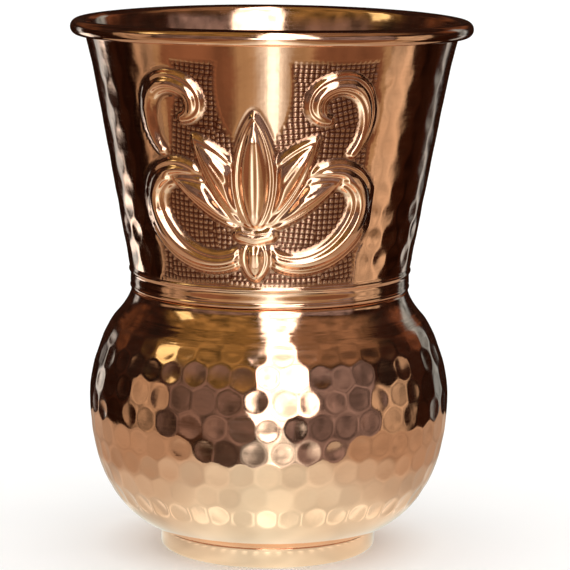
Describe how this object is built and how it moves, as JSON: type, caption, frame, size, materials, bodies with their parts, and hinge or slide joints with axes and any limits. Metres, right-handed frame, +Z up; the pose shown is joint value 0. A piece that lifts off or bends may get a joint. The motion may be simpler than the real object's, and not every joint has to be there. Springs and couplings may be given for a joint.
{
  "type": "hammered copper tumbler",
  "caption": "Kalash-shaped metal tumbler: flared cone over a round hammered bulb on a low foot, with a rolled wired rim, a banded waist and a chased lotus panel.",
  "frame": {"origin": "centre of the foot ring's underside, on the surface that the tumbler stands on", "axes": "+Z up along the axis of revolution, -Y out of the middle of the chased panel on the upper wall"},
  "size_m": [0.0822, 0.0822, 0.11],
  "materials": {
    "polished_copper": "hammered, chased and mirror polished copper sheet",
    "drawn_wire": "drawn copper wire, unpolished",
    "braze_alloy": "wiped line of brazing alloy, satin"
  },
  "bodies": {
    "root": {"upper_wall": "polished_copper", "rim_wire": "drawn_wire", "lower_bowl": "polished_copper", "waist_braze": "braze_alloy", "foot_ring": "polished_copper", "foot_braze": "braze_alloy"}
  },
  "joints": []
}
